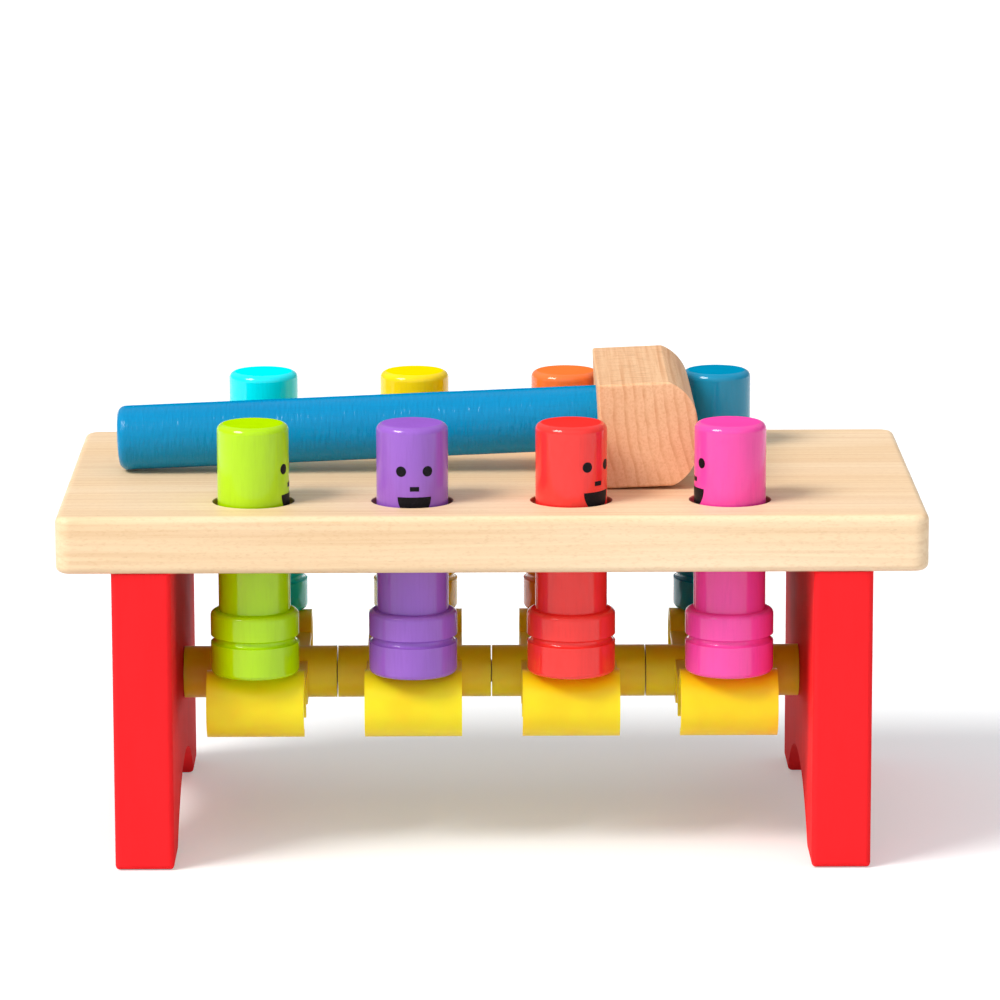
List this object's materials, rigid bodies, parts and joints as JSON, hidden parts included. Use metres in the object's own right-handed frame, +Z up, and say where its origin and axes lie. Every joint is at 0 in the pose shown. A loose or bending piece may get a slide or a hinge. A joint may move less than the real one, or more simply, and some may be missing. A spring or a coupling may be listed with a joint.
{
  "type": "peg pounding bench",
  "caption": "Wooden toy bench: captive painted pegs rise and fall in pairs on see-saw rockers under a flat top, with a mallet lying on it.",
  "frame": {"origin": "on the floor under the middle of the bench", "axes": "+X along the bench to the right, +Y to the rear, +Z up"},
  "size_m": [0.3, 0.165, 0.1633],
  "materials": {
    "top_wood": "pale hardwood, sanded, clear satin coat",
    "leg_paint": "red paint on wood, satin",
    "dowel_wood": "bare wood",
    "rocker_plastic": "yellow moulded plastic, satin",
    "mallet_wood": "bare beech, sanded",
    "handle_paint": "blue stain on wood, satin",
    "lime_paint": "glossy paint on turned wood",
    "purple_paint": "glossy paint on turned wood",
    "red_paint": "glossy paint on turned wood",
    "pink_paint": "glossy paint on turned wood",
    "cyan_paint": "glossy paint on turned wood",
    "yellow_paint": "glossy paint on turned wood",
    "orange_paint": "glossy paint on turned wood",
    "blue_paint": "glossy paint on turned wood"
  },
  "bodies": {
    "bench": {"bench_top": "top_wood", "leg_left": "leg_paint", "leg_right": "leg_paint", "leg_dowels_left": "dowel_wood", "leg_dowels_right": "dowel_wood", "axle_rod": "dowel_wood"},
    "rocker_1": {"rocker_1": "rocker_plastic"},
    "rocker_2": {"rocker_2": "rocker_plastic"},
    "rocker_3": {"rocker_3": "rocker_plastic"},
    "rocker_4": {"rocker_4": "rocker_plastic"},
    "peg_lime": {"peg_lime": "lime_paint"},
    "peg_purple": {"peg_purple": "purple_paint"},
    "peg_red": {"peg_red": "red_paint"},
    "peg_pink": {"peg_pink": "pink_paint"},
    "peg_cyan": {"peg_cyan": "cyan_paint"},
    "peg_yellow": {"peg_yellow": "yellow_paint"},
    "peg_orange": {"peg_orange": "orange_paint"},
    "peg_blue": {"peg_blue": "blue_paint"},
    "mallet": {"mallet_head": "mallet_wood", "mallet_handle": "handle_paint"}
  },
  "joints": [
    {"name": "rocker_1_swing", "type": "hinge", "parent": "bench", "child": "rocker_1", "pos_m": [-0.0828, 0, 0.052], "axis": [1, 0, 0], "range_deg": [-21, 21]},
    {"name": "rocker_2_swing", "type": "hinge", "parent": "bench", "child": "rocker_2", "pos_m": [-0.0276, 0, 0.052], "axis": [1, 0, 0], "range_deg": [-21, 21]},
    {"name": "rocker_3_swing", "type": "hinge", "parent": "bench", "child": "rocker_3", "pos_m": [0.0276, 0, 0.052], "axis": [1, 0, 0], "range_deg": [-21, 21]},
    {"name": "rocker_4_swing", "type": "hinge", "parent": "bench", "child": "rocker_4", "pos_m": [0.0828, 0, 0.052], "axis": [1, 0, 0], "range_deg": [-21, 21]},
    {"name": "peg_lime_slide", "type": "slide", "parent": "bench", "child": "peg_lime", "axis": [0, 0, 1], "range_m": [-0.0181, 0.0181]},
    {"name": "peg_purple_slide", "type": "slide", "parent": "bench", "child": "peg_purple", "axis": [0, 0, 1], "range_m": [-0.0181, 0.0181]},
    {"name": "peg_red_slide", "type": "slide", "parent": "bench", "child": "peg_red", "axis": [0, 0, 1], "range_m": [-0.0181, 0.0181]},
    {"name": "peg_pink_slide", "type": "slide", "parent": "bench", "child": "peg_pink", "axis": [0, 0, 1], "range_m": [-0.0181, 0.0181]},
    {"name": "peg_cyan_slide", "type": "slide", "parent": "bench", "child": "peg_cyan", "axis": [0, 0, 1], "range_m": [-0.0181, 0.0181]},
    {"name": "peg_yellow_slide", "type": "slide", "parent": "bench", "child": "peg_yellow", "axis": [0, 0, 1], "range_m": [-0.0181, 0.0181]},
    {"name": "peg_orange_slide", "type": "slide", "parent": "bench", "child": "peg_orange", "axis": [0, 0, 1], "range_m": [-0.0181, 0.0181]},
    {"name": "peg_blue_slide", "type": "slide", "parent": "bench", "child": "peg_blue", "axis": [0, 0, 1], "range_m": [-0.0181, 0.0181]},
    {"name": "mallet_lift", "type": "slide", "parent": "bench", "child": "mallet", "axis": [0, 0, 1], "range_m": [0, 0.15]}
  ],
  "couplings": [
    {"joint": "peg_lime_slide", "follows": "rocker_1_swing", "m_per_rad": -0.0492},
    {"joint": "peg_purple_slide", "follows": "rocker_2_swing", "m_per_rad": -0.0492},
    {"joint": "peg_red_slide", "follows": "rocker_3_swing", "m_per_rad": -0.0492},
    {"joint": "peg_pink_slide", "follows": "rocker_4_swing", "m_per_rad": -0.0492},
    {"joint": "peg_cyan_slide", "follows": "rocker_1_swing", "m_per_rad": 0.0492},
    {"joint": "peg_yellow_slide", "follows": "rocker_2_swing", "m_per_rad": 0.0492},
    {"joint": "peg_orange_slide", "follows": "rocker_3_swing", "m_per_rad": 0.0492},
    {"joint": "peg_blue_slide", "follows": "rocker_4_swing", "m_per_rad": 0.0492}
  ]
}
